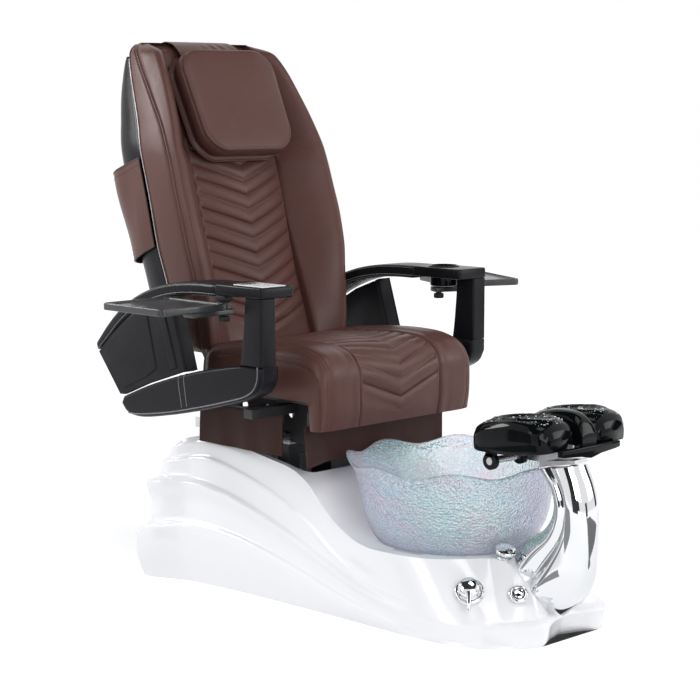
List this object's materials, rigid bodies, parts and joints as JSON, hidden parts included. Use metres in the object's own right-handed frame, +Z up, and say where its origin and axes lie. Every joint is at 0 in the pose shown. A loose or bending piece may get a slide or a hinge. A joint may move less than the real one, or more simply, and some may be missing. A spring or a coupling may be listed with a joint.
{
  "type": "pedicure spa chair",
  "caption": "Reclining massage seat with armrests, swing trays and headrest pillow on a swept base with a glass foot basin and a footrest on a pillar.",
  "frame": {"origin": "on the floor, under the middle of the base frame's cross-member", "axes": "+Z up, -Y the way the sitter faces (basin and footrest), +X the sitter's left"},
  "size_m": [1.3189, 1.5314, 1.4535],
  "materials": {
    "gelcoat": "glossy white gelcoat",
    "leather": "dark reddish brown upholstery, soft sheen",
    "black_vinyl": "black vinyl, fine grain",
    "black_shell": "black moulding, satin",
    "black_steel": "black powder coat",
    "chrome": "bright plating",
    "steel": "zinc plated",
    "gloss_black": "high gloss black",
    "glass": "hammered clear glass with a pearly coat",
    "rubber": "matte",
    "silver": "bright silver moulding",
    "membrane": "printed membrane, left blank",
    "dark_plastic": "fine texture"
  },
  "bodies": {
    "base": {"base_shell": "gelcoat", "base_frame": "black_steel", "control_box": "dark_plastic", "basin": "glass", "basin_gasket": "rubber", "drain_flange": "chrome", "jet_motor": "dark_plastic", "jet_cover": "chrome", "pillar": "chrome", "footrest_bracket": "steel", "footrest_saddle": "gloss_black", "footrest_cowl": "gloss_black", "mixer_plate": "chrome", "air_switch_bezel": "chrome", "sprayer_holder": "chrome", "slide_actuator": "dark_plastic", "slide_rail_near": "steel", "slide_rail_far": "steel"},
    "stopper": {"drain_stopper": "chrome"},
    "impeller": {"jet_impeller": "dark_plastic"},
    "lever": {"mixer_lever": "chrome"},
    "button": {"air_switch_button": "chrome"},
    "spray_head": {"sprayer": "chrome"},
    "pad_near": {"foot_pad_near": "gloss_black"},
    "pad_far": {"foot_pad_far": "gloss_black"},
    "seat": {"slide_rod": "steel", "seat_frame": "black_steel", "seat_pan": "dark_plastic", "seat_cushion": "leather", "skirt_front": "leather", "recline_actuator": "dark_plastic", "keypad": "membrane", "cup_holder": "dark_plastic", "skirt_near": "leather", "skirt_far": "leather", "arm_pod_near": "black_vinyl", "arm_pod_far": "black_vinyl", "arm_post_near": "black_shell", "arm_post_far": "black_shell", "arm_block_near": "black_shell", "arm_block_far": "black_shell", "arm_arch_near": "black_vinyl", "arm_arch_far": "black_vinyl", "arm_shield_near": "black_shell", "arm_shield_far": "black_shell", "tray_bracket_near": "black_steel", "tray_bracket_far": "black_steel"},
    "shelf_near": {"tray_near": "black_shell"},
    "shelf_far": {"tray_far": "black_shell"},
    "push_rod": {"recline_rod": "steel"},
    "back": {"back_frame": "black_steel", "back_shell": "black_shell", "back_cushion": "leather", "back_pocket": "leather", "massage_rails": "steel", "headrest_strap": "leather", "back_trim_near": "silver", "back_trim_far": "silver"},
    "massage_unit": {"massage_carriage": "dark_plastic"},
    "headrest": {"headrest_pillow": "leather"}
  },
  "joints": [
    {"name": "stopper_lift", "type": "slide", "parent": "base", "child": "stopper", "axis": [0, 0, 1], "range_m": [0, 0.012]},
    {"name": "impeller_spin", "type": "hinge", "parent": "base", "child": "impeller", "pos_m": [0, -0.137, 0.17], "axis": [0, 0, 1], "continuous": true},
    {"name": "mixer_turn", "type": "hinge", "parent": "base", "child": "lever", "pos_m": [-0.18993, -0.45348, 0.11898], "axis": [-0.5721, -0.4909, 0.6571], "range_deg": [-45, 45]},
    {"name": "button_press", "type": "slide", "parent": "base", "child": "button", "axis": [0.4953, 0.5057, -0.7063], "range_m": [0, 0.004], "stiffness_N_per_m": 300, "springref_m": -0.0015},
    {"name": "sprayer_lift", "type": "slide", "parent": "base", "child": "spray_head", "axis": [-0.1124, -0.323, 0.9397], "range_m": [0, 0.06]},
    {"name": "foot_pad_tilt_near", "type": "hinge", "parent": "base", "child": "pad_near", "pos_m": [0, -0.485, 0.437], "axis": [-1, 0, 0], "range_deg": [0, 25]},
    {"name": "foot_pad_tilt_far", "type": "hinge", "parent": "base", "child": "pad_far", "pos_m": [0, -0.485, 0.437], "axis": [-1, 0, 0], "range_deg": [0, 25]},
    {"name": "seat_slide", "type": "slide", "parent": "base", "child": "seat", "axis": [0, 1, 0], "range_m": [0, 0.12]},
    {"name": "tray_swing_near", "type": "hinge", "parent": "seat", "child": "shelf_near", "pos_m": [-0.398, 0.19, 0.77], "axis": [0, 0, 1], "range_deg": [0, 34]},
    {"name": "tray_swing_far", "type": "hinge", "parent": "seat", "child": "shelf_far", "pos_m": [0.398, 0.19, 0.77], "axis": [0, 0, 1], "range_deg": [-10, 24]},
    {"name": "back_recline", "type": "hinge", "parent": "seat", "child": "back", "pos_m": [0, 0.445, 0.56], "axis": [-1, 0, 0], "range_deg": [0, 30]},
    {"name": "push_rod_slide", "type": "slide", "parent": "seat", "child": "push_rod", "axis": [0, -1, 0], "range_m": [0, 0.04]},
    {"name": "massage_travel", "type": "slide", "parent": "back", "child": "massage_unit", "axis": [0, 0.2953, 0.9554], "range_m": [-0.1, 0.36]},
    {"name": "headrest_flip", "type": "hinge", "parent": "back", "child": "headrest", "pos_m": [0, 0.716, 1.41], "axis": [-1, 0, 0], "range_deg": [0, 90]}
  ],
  "couplings": [
    {"joint": "push_rod_slide", "follows": "back_recline", "m_per_rad": 0.068}
  ]
}
